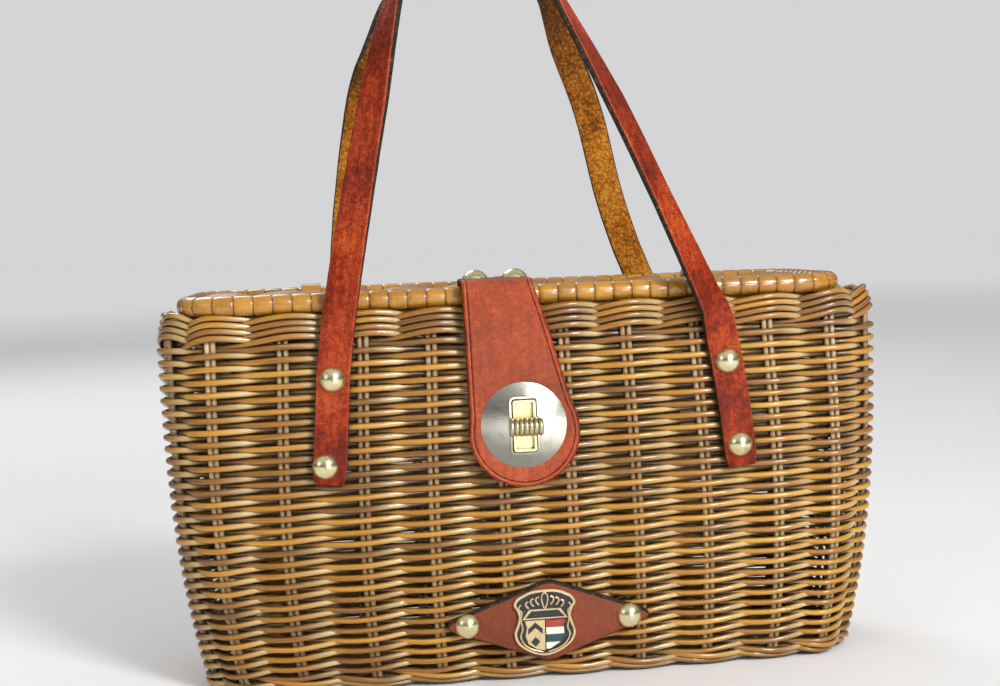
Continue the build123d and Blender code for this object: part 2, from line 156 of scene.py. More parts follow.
def reedFinish(name, dark, middle, light, coat, shadeShare):
    finish = Finish(name, Roughness=0.42, Coat_Weight=coat, Coat_Roughness=0.07, Coat_IOR=1.5)
    tone, along, around = finish.attribute("tone"), finish.attribute("along"), finish.attribute("around")
    pale = finish.attribute("pale")
    patches = finish.clouds(finish.vector(along * 40, around * 5, tone * 91), 1.0, 3.0, 0.55)
    fibres = finish.clouds(finish.vector(along * 80, around * 70, tone * 37), 1.0, 2.0, 0.6)
    broad = finish.clouds(finish.place(), 9.0, 2.0)
    shade = (tone * 0.38 + patches * 0.6 + broad * 0.4 + (fibres - 0.5) * 0.3 - 0.22).limited()
    colour = finish.colours(shade, (0.18, dark), (0.50, middle), (0.85, light))
    # pale above 0 is a painted highlight, cream on the side of a stroke that faces the light; below 0 it is
    # painted shade, grey-brown where the weaver passes behind a stake
    colour = finish.mix(pale.limited(), colour, (0.52, 0.395, 0.18, 1))
    colour = finish.mix((0 - pale).limited() * 0.75, colour, (0.17, 0.115, 0.052, 1))
    scars = finish.clouds(finish.vector(along * 21, around * 0.5, tone * 53), 1.0, 1.0).between(0.68, 0.73)
    colour = finish.mix(scars * 0.4, colour, (0.06, 0.026, 0.008, 1))
    # painted shade: the crevices between the reeds are darkened almost to black
    colour = finish.mix(finish.creaseShade(0.0042) * shadeShare, colour, (0.012, 0.007, 0.003, 1))
    return finish.wear(Base_Color=colour, Roughness=0.30 + fibres * 0.2,
                       Normal=finish.relief(fibres, 0.3, 0.0002))


def caneFinish():
    finish = Finish("honey cane wrap", Roughness=0.35, Coat_Weight=0.9, Coat_Roughness=0.08)
    tone, along, gap = finish.attribute("tone"), finish.attribute("along"), finish.attribute("gap")
    around = finish.attribute("around")
    fibres = finish.clouds(finish.vector(along * 2600, around * 2, tone * 71), 1.0, 2.0, 0.6)
    patches = finish.clouds(finish.vector(along * 160, around * 4, tone * 31), 1.0, 2.0)
    broad = finish.clouds(finish.place(), 14.0, 2.0)
    shade = (tone * 0.22 + fibres * 0.30 + patches * 0.35 + broad * 0.35 - 0.08).limited()
    colour = finish.colours(shade, (0.15, (0.15, 0.060, 0.002)), (0.5, (0.37, 0.155, 0.004)),
                            (0.9, (0.58, 0.29, 0.022)))
    colour = finish.mix(gap, colour, (0.020, 0.010, 0.003, 1))
    return finish.wear(Base_Color=colour, Roughness=0.24 + fibres * 0.22,
                       Normal=finish.relief(fibres, 0.45, 0.0002))


def rodFinish(name, dark, middle, light):  # a thick reed or cane tie, coloured by its place alone
    finish = Finish(name, Roughness=0.4, Coat_Weight=0.5, Coat_Roughness=0.15)
    where = finish.place()
    fibres = finish.clouds(finish.stretched(where, 60, 900, 900), 1.0, 3.0, 0.6)
    broad = finish.clouds(where, 30.0, 3.0)
    shade = (fibres * 0.6 + broad * 0.5 - 0.05).limited()
    colour = finish.colours(shade, (0.25, dark), (0.5, middle), (0.8, light))
    return finish.wear(Base_Color=colour, Roughness=0.32 + fibres * 0.2,
                       Normal=finish.relief(fibres, 0.4, 0.0003))


def leatherFinish(name, dark, middle, light):
    finish = Finish(name, Roughness=0.42, Coat_Weight=0.14, Coat_Roughness=0.12, Specular_IOR_Level=0.13)
    where = finish.place()
    crease = finish.attribute("crease")
    grain = finish.cells(where, 1150.0, "DISTANCE_TO_EDGE").between(0.0, 0.22)
    broad = finish.clouds(where, 45.0, 4.0, 0.65)
    fine = finish.clouds(where, 520.0, 3.0, 0.7)
    streaks = finish.clouds(finish.stretched(where, 620, 620, 48), 1.0, 3.0, 0.6)
    shade = ((broad - 0.5) * 1.1 + (fine - 0.5) * 0.9 + (streaks - 0.5) * 0.4 + grain * 0.15 + 0.40).limited()
    colour = finish.colours(shade, (0.24, dark), (0.50, middle), (0.78, light))
    pores = finish.clouds(where, 300.0, 2.0, 0.5).between(0.715, 0.75)
    colour = finish.mix(pores * 0.65, colour, (0.035, 0.008, 0.004, 1))
    # crease above 0 darkens the tooled lines, partly their own colour and partly painted shade in the
    # grooves; below 0 it pales the rims and ridges beside them, a painted highlight
    colour = finish.mix(crease.limited() * 0.85, colour, (dark[0] * 0.3, dark[1] * 0.3, dark[2] * 0.3, 1))
    colour = finish.mix((0 - crease).limited() * 0.6, colour, (0.60, 0.20, 0.10, 1))
    # painted shade in the creases where the leather meets other parts
    colour = finish.mix(finish.creaseShade(0.0016) * 0.75, colour, (0.030, 0.010, 0.005, 1))
    height = grain * 0.6 + fine * 0.7 + broad * 0.3 + streaks * 0.3
    return finish.wear(Base_Color=colour, Roughness=0.27 + fine * 0.30,
                       Normal=finish.relief(height, 0.55, 0.0004))


def suedeFinish():
    finish = Finish("suede back", Roughness=0.95, Sheen_Weight=0.1, Sheen_Roughness=0.5,
                    Specular_IOR_Level=0.1)
    where = finish.place()
    # painted shade: the suede is made darker higher up, where the handle's underside lies in shadow
    high = finish.node("ShaderNodeSeparateXYZ", {}, [where], 2).between(0.19, 0.27)
    broad = finish.clouds(where, 60.0, 4.0, 0.65)
    nap = finish.clouds(where, 900.0, 4.0, 0.8)
    tufts = finish.cells(where, 620.0).between(0.1, 0.9)
    shade = (broad * 0.55 + nap * 0.85 - tufts * 0.2 - high * 0.20 - 0.06).limited()
    colour = finish.colours(shade, (0.28, (0.10, 0.032, 0.002)), (0.5, (0.37, 0.115, 0.006)),
                            (0.75, (0.65, 0.29, 0.03)))
    return finish.wear(Base_Color=colour, Normal=finish.relief(nap + broad * 0.5 - tufts * 0.4, 1.0, 0.0011))


def cutEdgeFinish():
    finish = Finish("dyed cut edge", Roughness=0.85, Specular_IOR_Level=0.3)
    nap = finish.clouds(finish.place(), 700.0, 4.0, 0.75)
    colour = finish.colours(nap, (0.42, (0.010, 0.008, 0.006)), (0.60, (0.035, 0.024, 0.012)),
                            (0.74, (0.34, 0.19, 0.06)))
    return finish.wear(Base_Color=colour, Normal=finish.relief(nap, 0.9, 0.0006))


def metalFinish(name, clean, wearAndGlint, roughness, shadeBelow=None):  # below the given point, an (x, z), the plate is dark: a painted reflection of dark surroundings beneath it
    finish = Finish(name, Metallic=1.0, Roughness=roughness)
    where = finish.place()
    stains = finish.clouds(where, 260.0, 4.0, 0.65)
    scratches = finish.clouds(finish.stretched(where, 300, 60, 2600), 1.0, 2.0, 0.6)
    colour = finish.mix(stains.between(0.50, 0.80), (*clean, 1), (*wearAndGlint, 1))
    if shadeBelow:
        parts = [finish.node("ShaderNodeSeparateXYZ", {}, [where], axis) for axis in (0, 2)]
        slope = (parts[1] - shadeBelow[1]) + (parts[0] - shadeBelow[0]) * 0.35 + (stains - 0.5) * 0.012
        # painted reflection: the plate darkens towards its lower left
        dark = 1 - slope.between(-0.012, 0.003)
        colour = finish.mix(dark * 0.75, colour, (0.11, 0.105, 0.085, 1))
    # painted shade in the creases, such as round the rivet heads
    colour = finish.mix(finish.creaseShade(0.0013) * 0.85, colour, (0.045, 0.036, 0.018, 1))
    return finish.wear(Base_Color=colour, Roughness=roughness + stains * 0.14 + scratches * 0.08,
                       Normal=finish.relief(scratches, 0.05, 0.0002))


def enamelFinish(name, colour):
    finish = Finish(name, Roughness=0.22, Coat_Weight=0.6, Coat_Roughness=0.08)
    mottle = finish.clouds(finish.place(), 420.0, 3.0)
    chips = finish.clouds(finish.place(), 1300.0, 2.0).between(0.66, 0.72)
    low = (*[value * 0.8 for value in colour], 1)
    high = (*[min(value * 1.15, 1.0) for value in colour], 1)
    colour = finish.mix(chips * 0.5, finish.mix(mottle, low, high), (0.30, 0.22, 0.10, 1))
    return finish.wear(Base_Color=colour)


def floorFinish(glow):  # glow: how much the floor far away is lifted, so that it melts into the backdrop
    finish = Finish("pale floor", Roughness=0.75, Emission_Strength=1.0)
    where = finish.place()
    away = finish.node("ShaderNodeVectorMath", {"operation": "LENGTH"}, [where], 1).between(0.7, 5.0)
    mottle = finish.clouds(where, 3.0, 3.0)
    return finish.wear(Base_Color=finish.mix(mottle, (0.80, 0.80, 0.80, 1), (0.83, 0.83, 0.83, 1)),
                       Emission_Color=finish.mix(away, (0, 0, 0, 1), (glow, glow, glow, 1)))


lockLow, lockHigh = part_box("lock_plate")
lockSpot = ((lockLow.x + lockHigh.x) / 2, (lockLow.z + lockHigh.z) / 2)
finishes = {
    "weaver": reedFinish("varnished reed", (0.13, 0.047, 0.003), (0.39, 0.163, 0.004),
                         (0.60, 0.33, 0.035), 0.70, 0.9),
    "stake": reedFinish("stake reed", (0.28, 0.155, 0.055), (0.58, 0.38, 0.18),
                        (0.80, 0.60, 0.36), 0.35, 0.6),
    "cane": caneFinish(),
    "rod": rodFinish("thick reed", (0.12, 0.05, 0.008), (0.34, 0.17, 0.035), (0.52, 0.30, 0.09)),
    "tie": rodFinish("cane tie", (0.14, 0.055, 0.006), (0.36, 0.16, 0.02), (0.55, 0.30, 0.07)),
    "leather": leatherFinish("red-brown leather", (0.100, 0.008, 0.001), (0.262, 0.020, 0.001),
                             (0.44, 0.070, 0.012)),
    "darkLeather": leatherFinish("dark red-brown leather", (0.045, 0.004, 0.001), (0.110, 0.010, 0.001),
                                 (0.19, 0.026, 0.004)),
    "suede": suedeFinish(),
    "cutEdge": cutEdgeFinish(),
    "rivet": metalFinish("pale gold plate", (0.80, 0.71, 0.42), (0.54, 0.45, 0.23), 0.13),
    "chrome": metalFinish("polished nickel", (0.84, 0.82, 0.71), (0.54, 0.50, 0.40), 0.09, lockSpot),
    "brass": metalFinish("pale brass", (0.93, 0.84, 0.48), (0.72, 0.60, 0.30), 0.22),
    "knob": metalFinish("worn brass", (0.56, 0.51, 0.32), (0.36, 0.30, 0.15), 0.18),
    "gilt": metalFinish("gilt stamping", (0.88, 0.70, 0.42), (0.58, 0.42, 0.22), 0.24),
    "black": enamelFinish("black enamel", (0.012, 0.012, 0.014)),
    "cream": enamelFinish("cream enamel", (0.80, 0.76, 0.62)),
    "maroon": enamelFinish("maroon enamel", (0.36, 0.030, 0.018)),
    "teal": enamelFinish("deep teal enamel", (0.010, 0.055, 0.065)),
}
print("finishes made")


def piece(name, mesh, body, slot, *materials, smooth=True):
    made = bpy.data.objects.new(name, mesh)
    bpy.context.scene.collection.objects.link(made)
    for material in materials:
        mesh.materials.append(material)
    if smooth:
        mesh.shade_smooth()
    if body:
        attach(made, body)
    return made


def paint(mesh, name, values):  # one number for each vertex, which a finish can read
    mesh.attributes.new(name, "FLOAT", "POINT").data.foreach_set("value", values)


def meshFrom(name, bm):
    mesh = bpy.data.meshes.new(name)
    bm.to_mesh(mesh)
    bm.free()
    return mesh


def reeds(name, lines, radius, closed, upright=False, sides=8):  # each line: (place, thickness, pale), pale above 0 a painted highlight and below 0 painted shade
    curve = bpy.data.curves.new(name, "CURVE")
    curve.dimensions = "3D"
    curve.twist_mode = "MINIMUM" if upright else "Z_UP"
    curve.bevel_depth = radius
    curve.bevel_resolution = sides // 2 - 2
    for line in lines:
        spline = curve.splines.new("POLY")
        spline.points.add(len(line) - 1)
        for point, (place, thick, pale) in zip(spline.points, line):
            point.co = (*place, 1)
            point.radius = thick
        spline.use_cyclic_u = closed
    holder = bpy.data.objects.new(name, curve)
    mesh = bpy.data.meshes.new_from_object(holder)
    bpy.data.objects.remove(holder)
    bpy.data.curves.remove(curve)
    tones, alongs, arounds, pales = [], [], [], []
    for line in lines:
        tone, along = random.random(), random.random() * 5
        last = line[0][0]
        for place, thick, pale in line:
            along += (Vector(place) - Vector(last)).length
            last = place
            tones += [tone] * sides
            alongs += [along] * sides
            pales += [pale] * sides
            arounds += [abs(side / sides * 2 - 1) for side in range(sides)]
    paint(mesh, "tone", tones)
    paint(mesh, "along", alongs)
    paint(mesh, "around", arounds)
    paint(mesh, "pale", pales)
    if not closed:
        bm = bmesh.new()
        bm.from_mesh(mesh)
        bmesh.ops.holes_fill(bm, edges=[edge for edge in bm.edges if edge.is_boundary], sides=sides)
        bm.to_mesh(mesh)
        bm.free()
    return mesh


def wickerPiece(name, lines, radius, closed, body, finish, upright=False):
    return piece(name, reeds(name, lines, radius, closed, upright), body, "wicker", finishes[finish])


basket = {
    "width": 0.280, "depth": 0.104, "height": 0.1445, "wall": 0.0065,
    "corner": 0.024, "faceBulge": 0.004, "endBulge": 0.002,
    "taperWidth": 0.0116, "taperDepth": 0.0093, "taperPower": 2.85, "footRound": 0.005,
}
weave = {
    "stakes": 28,            # an even number, so that every row closes on itself
    "reed": 0.00118,         # radius of a weaver
    "stakeReed": 0.00108,
    "pitch": 0.0021,         # from one row to the next, in the lid and the floor
    "firstRow": 0.0071,
    "footPitch": 0.00197,    # the rows are beaten down harder at the foot
    "pitchGain": 0.0000065,
    "rowsEnd": 0.0118,       # below the top of the wall
    "steps": 12,             # points from one stake to the next
    "swing": 0.00197,        # how far a weaver passes either side of the stakes
    "footRows": (0.0029, 0.0050),
    "footSag": -0.0011,
    "sag": 0.0008, "lift": 0.0006,       # the weavers sag low down and are pushed up below the border
    "slant": 0.00022, "lowSlant": 0.00045,
    "wobble": 0.00022, "kink": 0.00016,  # slow and quick unevenness
    "thin": 0.96, "gain": 0.05,          # thickness at the foot, and how much it gains
    "closer": 0.11,          # thicker at the ends and the back, which are woven closer
    "borderRows": 4,
    "borderPitch": 0.00245,
    "borderRise": 0.0014,
    "borderGap": 0.0024,     # from the last row to the first border strand
    "strandSwing": 0.00235, "strandThick": 1.04,
    "lean": 0.0016,          # how far the border leans in
    "lowest": 0.00125,       # middle of the lowest strand
    "stakeFoot": 0.0012,
    "stakeDrop": 0.0062,     # how much shorter the stakes are than the wall
    "stakePoints": 30,
    "fan": 0.37,             # how far the stakes spread towards the foot, in stakes
    "drift": (0, 0, -0.12, -0.09, 0.06, 0.04, 0.03, -0.02, -0.09, -0.05, 0.07, 0.04, 0, 0),
}
weave["lastRow"] = basket["height"] - weave["rowsEnd"]
halfTurn, quarterTurn = weave["stakes"] // 2, weave["stakes"] // 4   # in stakes


def smooth(low, high, value):
    share = min(max((value - low) / (high - low), 0), 1)
    return share * share * (3 - 2 * share)


def wallHalf(z, inward):
    drawn = max((basket["height"] - z) / basket["height"], 0) ** basket["taperPower"]
    foot = basket["footRound"]
    under = foot - math.sqrt(foot ** 2 - (foot - z) ** 2) if z < foot else 0
    return (basket["width"] / 2 - basket["taperWidth"] * drawn - inward - under,
            basket["depth"] / 2 - basket["taperDepth"] * drawn - inward - under)


def faceDepth(x, z, inward=0.0):
    halfWidth, halfDepth = wallHalf(z, inward)
    return halfDepth - basket["faceBulge"] * (x / (halfWidth - basket["endBulge"])) ** 2


def cornerOf(z, inward):  # where the rounded corner starts and ends, its middle and how far it turns
    halfWidth, halfDepth = wallHalf(z, inward)
    cornerX, cornerY = halfWidth - basket["endBulge"], halfDepth - basket["faceBulge"]
    frontSlope = math.atan(2 * basket["faceBulge"] / cornerX)
    endSlope = math.atan(2 * basket["endBulge"] / cornerY)
    turn = math.pi / 2 - frontSlope - endSlope
    radius = basket["corner"] - inward
    reach = radius * math.tan(turn / 2)
    start = Vector((cornerX - reach * math.cos(frontSlope), -cornerY - reach * math.sin(frontSlope)))
    end = Vector((cornerX + reach * math.sin(endSlope), -cornerY + reach * math.cos(endSlope)))
    middle = start + radius * Vector((-math.sin(frontSlope), math.cos(frontSlope)))
    return start, end, middle, radius, frontSlope, turn


topCorner = cornerOf(basket["height"], 0)
topLengths = (topCorner[0].x, topCorner[3] * topCorner[5], -topCorner[1].y)
bay = sum(topLengths) * 4 / weave["stakes"]


def wallPlace(count, z, inward):  # count runs round in stakes, from the middle of the front to the right
    quarter, rest = divmod(count % weave["stakes"], quarterTurn)
    if quarter in (1, 3):
        rest = quarterTurn - rest
    along = rest * bay
    start, end, middle, radius, slope, turn = cornerOf(z, inward)
    face, bend, side = topLengths
    if along < face:
        x = start.x * along / face
        y = -faceDepth(x, z, inward)
    elif along < face + bend:
        angle = slope + turn * (along - face) / bend
        x, y = middle.x + radius * math.sin(angle), middle.y - radius * math.cos(angle)
    else:
        y = end.y * max(1 - (along - face - bend) / side, 0)
        halfWidth, halfDepth = wallHalf(z, inward)
        x = halfWidth - basket["endBulge"] * (y / (halfDepth - basket["faceBulge"])) ** 2
    if quarter in (2, 3):
        x = -x
    if quarter in (1, 2):
        y = -y
    return Vector((x, y, z))


def spread(count, z):  # where a stake really stands: each is a little off, and they fan out downwards
    turn = (count + quarterTurn) % halfTurn - quarterTurn
    low = max(1 - z / (0.9 * basket["height"]), 0)
    shift = (weave["fan"] * math.sin(math.pi * turn / quarterTurn) + 0.05) * low
    if (count + quarterTurn) % weave["stakes"] < halfTurn:
        slot = (turn + quarterTurn - 0.5) % halfTurn
        first, share = int(slot), slot - int(slot)
        shift += weave["drift"][first] * (1 - share) + weave["drift"][(first + 1) % halfTurn] * share
    return count + shift


def nearCorner(count):  # 1 at a corner of the basket
    away = min(abs(count % halfTurn - quarterTurn - side * 1.5) for side in (-1, 1))
    return max(math.cos(math.pi * away / 2.6), 0) if away < 1.3 else 0


def rowHeight(row):
    return weave["firstRow"] + weave["footPitch"] * row + weave["pitchGain"] * row * row / 2


def wallRow(row):
    line = []
    z = rowHeight(row)
    share = z / basket["height"]
    sag = weave["sag"] * (1 - smooth(0.15, 0.62, share)) - weave["lift"] * smooth(0.80, 0.93, share)
    slant = weave["slant"] + weave["lowSlant"] * (1 - smooth(0.1, 0.7, share))
    thick = weave["thin"] + weave["gain"] * smooth(0.0, 0.6, share)
    for step in range(weave["stakes"] * weave["steps"]):
        count = step / weave["steps"]
        angle = math.pi * (count - 0.5 + row)
        swing, side = math.cos(angle), math.sin(angle)
        wobble = weave["wobble"] * noise.noise((count * 0.5, row * 3.1, 0))
        wobble += weave["kink"] * noise.noise((count * 2.3, row * 7.7, 5))
        lift = slant * side - sag * max(swing, 0)
        inward = basket["wall"] / 2 - weave["swing"] * swing * (1 + 0.08 * noise.noise((count, row * 5.3, 9)))
        # painted highlight on the side of each stroke that turns towards the light, with a strength that
        # varies at random, and painted shade where the weaver passes behind a stake
        wearAndGlint = 0.75 + 0.6 * noise.noise((count * 0.7, row * 2.9, 3))
        pale = 0.9 * wearAndGlint * max(side, 0) ** 3 - 0.9 * max(-swing, 0)
        uneven = 1 + 0.06 * noise.noise((count * 0.3, row * 1.7, 12))
        hidden = smooth(5.0, 7.5, halfTurn - abs(count - halfTurn))   # 1 at the ends and the back
        lift *= 1 - 0.7 * hidden
        uneven += weave["closer"] * hidden
        line.append((wallPlace(spread(count, z), z + lift + wobble, inward), thick * uneven, pale))
    return line


def twinedRow(z, strand, rise):  # one strand of a pair, which cross between the stakes
    line = []
    for step in range(weave["stakes"] * weave["steps"]):
        count = step / weave["steps"]
        angle = math.pi * (count - 0.5 + strand)
        corner = nearCorner(count) if rise > 0 else 0
        lift = rise * (1 + 0.9 * corner) * (math.cos(angle) + 0.55 * math.sin(angle))
        wobble = 0.0003 * noise.noise((count * 0.9, z * 900, strand * 4))
        lean = (weave["lean"] + 0.0010 * corner) * max((z - weave["lastRow"]) / 0.01, 0) ** 1.5
        inward = basket["wall"] / 2 + lean - (weave["strandSwing"] - 0.0004 * corner) * math.cos(angle)
        # painted highlight on the side of each strand that turns towards the light, and painted shade where
        # it passes behind a stake
        pale = 0.55 * max(math.sin(angle), 0) ** 3 - 0.8 * max(-math.cos(angle), 0)
        height = max(z + lift + wobble, weave["lowest"])
        line.append((wallPlace(spread(count, z), height, inward), weave["strandThick"], pale))
    return line


rowCount = 0
while rowHeight(rowCount) < weave["lastRow"]:
    rowCount += 1
rows = [wallRow(row) for row in range(rowCount)]
foot = [twinedRow(z, strand, weave["footSag"]) for z in weave["footRows"] for strand in (0, 1)]
third = rowCount // 3
bands = (("lower_weave", foot + rows[:third]), ("middle_weave", rows[third:2 * third]),
         ("upper_weave", rows[2 * third:]))
for name, group in bands:
    woven = wickerPiece(name, group, weave["reed"], True, "basket", "weaver")
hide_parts("woven_wall")

border = []
for row in range(weave["borderRows"]):
    height = weave["lastRow"] + weave["borderGap"] + row * weave["borderPitch"]
    for strand in (0, 1):
        border.append(twinedRow(height, strand, weave["borderRise"]))
wickerPiece("border_weave", border, weave["reed"], True, "basket", "weaver")

stakes = []
for number in range(weave["stakes"]):
    for side in (-1, 1):
        line = []
        for step in range(weave["stakePoints"] + 1):
            rise = (step / weave["stakePoints"]) ** 1.3   # closer together at the foot, where it bends
            z = weave["stakeFoot"] + (basket["height"] - weave["stakeDrop"]) * rise
            wander = 0.004 * noise.noise((z * 30, number * 7.3, side * 2.0))
            count = spread(number + 0.5, z) + side * 1.08 * weave["stakeReed"] / bay + wander
            line.append((wallPlace(count, z, basket["wall"] / 2), 1.0, 0.0))
        stakes.append(line)
wickerPiece("stakes", stakes, weave["stakeReed"], False, "basket", "stake", True)
print("wall woven:", rowCount, "rows and", len(border), "border strands")


def roundedEnd(radius, over):  # how much shorter a row is where the corner turns
    return radius - math.sqrt(max(radius ** 2 - over ** 2, 0)) if over > 0 else 0


def panelRows(halfLength, halfDepth, radius, bulge, z, swing, inset):
    rows, cross = [], []
    count = int(2 * (halfDepth - inset) / weave["pitch"])
    for row in range(count + 1):
        share = -1 + 2 * row / count
        depth = share * (halfDepth - inset)
        end = halfLength - inset - roundedEnd(radius, abs(depth) - (halfDepth - radius))
        line = []
        steps = int(2 * end / bay * 8)
        for step in range(steps + 1):
            x = -end + 2 * end * step / steps
            up = swing * math.cos(math.pi * (x / bay - 0.5) + math.pi * row)
            wobble = 0.0002 * noise.noise((x * 40, row * 3.7, z * 100))
            y = share * (halfDepth - inset - bulge * (x / halfLength) ** 2) + wobble
            line.append((Vector((x, y, z + up)), 1.0, 0.0))
        rows.append(line)
    reach = int((halfLength - inset) / bay - 0.2)
    for number in range(-reach - 1, reach + 1):
        for side in (-1, 1):
            x = (number + 0.5) * bay + side * weave["reed"]
            end = halfDepth - inset - bulge * (x / halfLength) ** 2
            end -= roundedEnd(radius, abs(x) - (halfLength - radius))
            cross.append([(Vector((x, -end + 2 * end * step / 6, z)), 1.0, 0.0) for step in range(7)])
    return rows, cross


base = {
    "height": 0.0025, "corner": 0.0175,
    "swing": 0.0013,         # how far a weaver passes above and below the sticks
    "inset": 0.001,          # room between the weave and what holds it
    "reed": 0.00105, "stick": 0.00095,
}
floorHalf = wallHalf(base["height"], basket["wall"])
baseRows, baseCross = panelRows(floorHalf[0], floorHalf[1], base["corner"], basket["faceBulge"],
                                base["height"], base["swing"], base["inset"])
baseWeave = wickerPiece("base_weave", baseRows, base["reed"], False, "basket", "weaver")
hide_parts("woven_base")
wickerPiece("base_sticks", baseCross, base["stick"], False, "basket", "stake")
print("base woven")

lidLow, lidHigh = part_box("lid_border")
lid = {
    "rod": lidHigh.z - lidLow.z,
    "corner": 0.0195,
    "strip": 0.007,          # width of one turn of cane
    "wrap": 0.0003,          # thickness of the cane
    "shift": -0.003,         # the lid sits a little to the left
    "overlap": 0.001,        # how far the weave runs into the border
    "panelCorner": 0.0125, "swing": 0.00165, "inset": 0.0006, "stick": 0.00098,
}


def roundedPlace(halfX, halfY, radius, share):  # share of the way round, from the middle of the back
    straightX, straightY, bend = halfX - radius, halfY - radius, math.pi / 2 * radius
    total = 4 * (straightX + straightY + bend)
    distance = share % 1 * total
    corners = [(straightX, straightY, math.pi / 2), (straightX, -straightY, 0),
               (-straightX, -straightY, -math.pi / 2), (-straightX, straightY, math.pi)]
    lengths = [straightX, 2 * straightY, 2 * straightX, 2 * straightY, straightX]
    ends = [(0, halfY), (halfX, straightY), (straightX, -halfY), (-halfX, -straightY), (-straightX, halfY)]
    ways = [(1, 0), (0, -1), (-1, 0), (0, 1), (1, 0)]
    for index in range(5):
        if distance <= lengths[index]:
            return ends[index][0] + ways[index][0] * distance, ends[index][1] + ways[index][1] * distance
        distance -= lengths[index]
        if distance <= bend:
            x, y, first = corners[index]
            angle = first - distance / radius
            return x + radius * math.cos(angle), y + radius * math.sin(angle)
        distance -= bend
    return ends[0]


def wrappedBorder():
    halfX, halfY = (lidHigh.x - lidLow.x - lid["rod"]) / 2, (lidHigh.y - lidLow.y - lid["rod"]) / 2
    radius = lid["corner"] - lid["rod"] / 2
    total = 4 * (halfX + halfY - 2 * radius + math.pi / 2 * radius)
    turns = round(total / lid["strip"])
    middle = (lidLow.z + lidHigh.z) / 2
    profile = ((0.0, 0.90, 1), (0.03, 0.985, 0.3), (0.12, 1.01, 0), (0.4, 1.035, 0), (0.75, 1.03, 0),
               (0.94, 1.0, 0), (0.98, 0.95, 0.7))   # share of the turn, thickness, how dark the gap is
    line, tones, gaps = [], [], []
    for turn in range(turns):
        tone = random.random()
        slack = random.uniform(-0.012, 0.012)
        for share, thick, gap in profile:
            x, y = roundedPlace(halfX, halfY, radius, (turn + share) / turns)
            line.append((Vector((x + lid["shift"], y, middle)), thick + (slack if not gap else 0), 0.0))
            tones += [tone] * 16
            gaps += [gap] * 16
    mesh = reeds("lid_wrap", [line], lid["rod"] / 2 + lid["wrap"] / 2, True, False, 16)
    mesh.attributes["tone"].data.foreach_set("value", tones)
    paint(mesh, "gap", gaps)
    return mesh


wrap = piece("lid_wrap", wrappedBorder(), "lid", "flat_cane", finishes["cane"])
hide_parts("lid_border")
panelLow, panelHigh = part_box("lid_panel")
lidRows, lidCross = panelRows(panelHigh.x + lid["overlap"], panelHigh.y + lid["overlap"], lid["panelCorner"],
                              0.0, (panelLow.z + panelHigh.z) / 2, lid["swing"], lid["inset"])
for line in lidRows + lidCross:
    for place, thick, pale in line:
        place.x += lid["shift"]
lidWeave = wickerPiece("lid_weave", lidRows, weave["reed"], False, "lid", "weaver")
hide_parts("lid_panel")
wickerPiece("lid_sticks", lidCross, lid["stick"], False, "lid", "stake")
print("lid woven and wrapped")


tab = {
    "x": -0.0123, "topHalf": 0.0132, "reach": 0.024, "length": 0.0762, "thickness": 0.0026,
    "round": 0.004,          # rounding of the end that lies on the lid
    "waist": (0.0166, 0.027), "shoulder": (0.0192, 0.0476),   # half widths, and how far down
    "fold": 0.0034,          # radius of the fold over the lid's edge
    "crease": 0.0024,        # tooled line inside the edge
    "slotHalf": (0.0053, 0.0105),
    "turnsBy": 0.018,        # how far below the fold it hangs in line with the lock
    "bow": 0.0009, "bowed": (0.004, 0.024),   # bows out by this much, from here and for so long
}
tabLow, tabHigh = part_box("closure_tab")
tabTopLow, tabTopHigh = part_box("tab_top")
foldHeight = (tabTopLow.z + tabTopHigh.z) / 2
foldDepth = (tabLow.y + tabHigh.y) / 2
tabLean = math.atan2(lockSpot[0] - tab["x"], foldHeight - lockSpot[1])


def tabHalf(along):  # half the tab's width, along from the fold
    bend = tab["round"]
    if along < -tab["reach"] + bend:
        inside = -tab["reach"] + bend - along
        return tab["topHalf"] - bend + math.sqrt(max(bend ** 2 - inside ** 2, 0))
    if along < 0:
        return tab["topHalf"]
    waist, waistAt = tab["waist"]
    shoulder, shoulderAt = tab["shoulder"]
    if along < shoulderAt:
        a = (along - waistAt) * (along - shoulderAt) / (waistAt * shoulderAt) * tab["topHalf"]
        b = along * (along - shoulderAt) / (waistAt * (waistAt - shoulderAt)) * waist
        c = along * (along - waistAt) / (shoulderAt * (shoulderAt - waistAt)) * shoulder
        return a + b + c
    centre = (tab["length"] ** 2 - shoulder ** 2 - shoulderAt ** 2) / (2 * (tab["length"] - shoulderAt))
    return math.sqrt(max((tab["length"] - centre) ** 2 - (along - centre) ** 2, 0))


